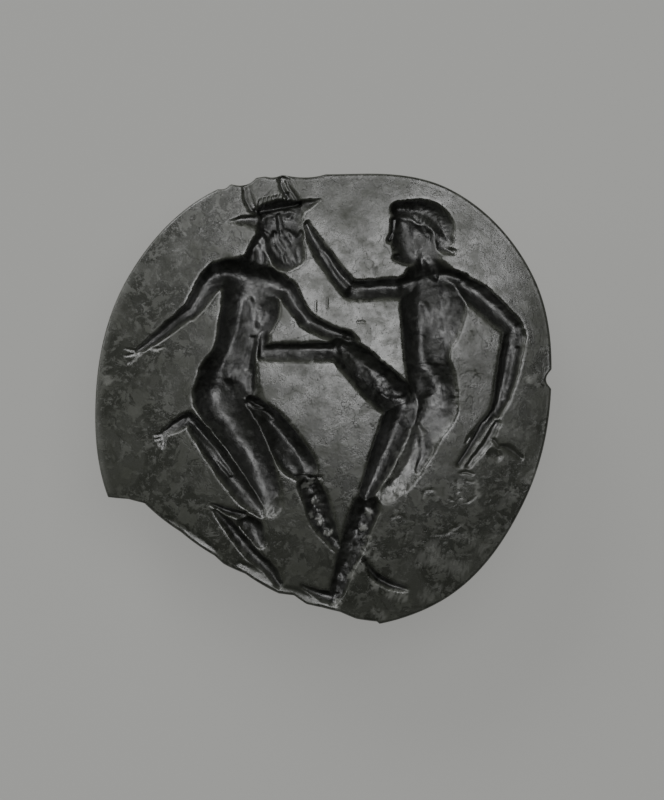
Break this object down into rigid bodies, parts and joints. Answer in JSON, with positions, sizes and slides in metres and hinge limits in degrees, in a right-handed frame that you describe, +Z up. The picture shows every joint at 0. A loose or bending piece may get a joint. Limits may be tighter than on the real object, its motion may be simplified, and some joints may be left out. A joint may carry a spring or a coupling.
{
  "type": "engraved seal stone",
  "caption": "Round domed seal stone with two sunk figures on its face and a string hole from side to side.",
  "frame": {"origin": "under the middle of the stone, on the surface it lies on", "axes": "+Z up out of the carved face, +Y towards the top of the engraved picture, +X towards its right, along the string hole"},
  "size_m": [0.0222, 0.0218, 0.008],
  "materials": {
    "stone": "polished dark grey-green mottled stone"
  },
  "bodies": {
    "root": {"seal_stone": "stone"}
  },
  "joints": []
}
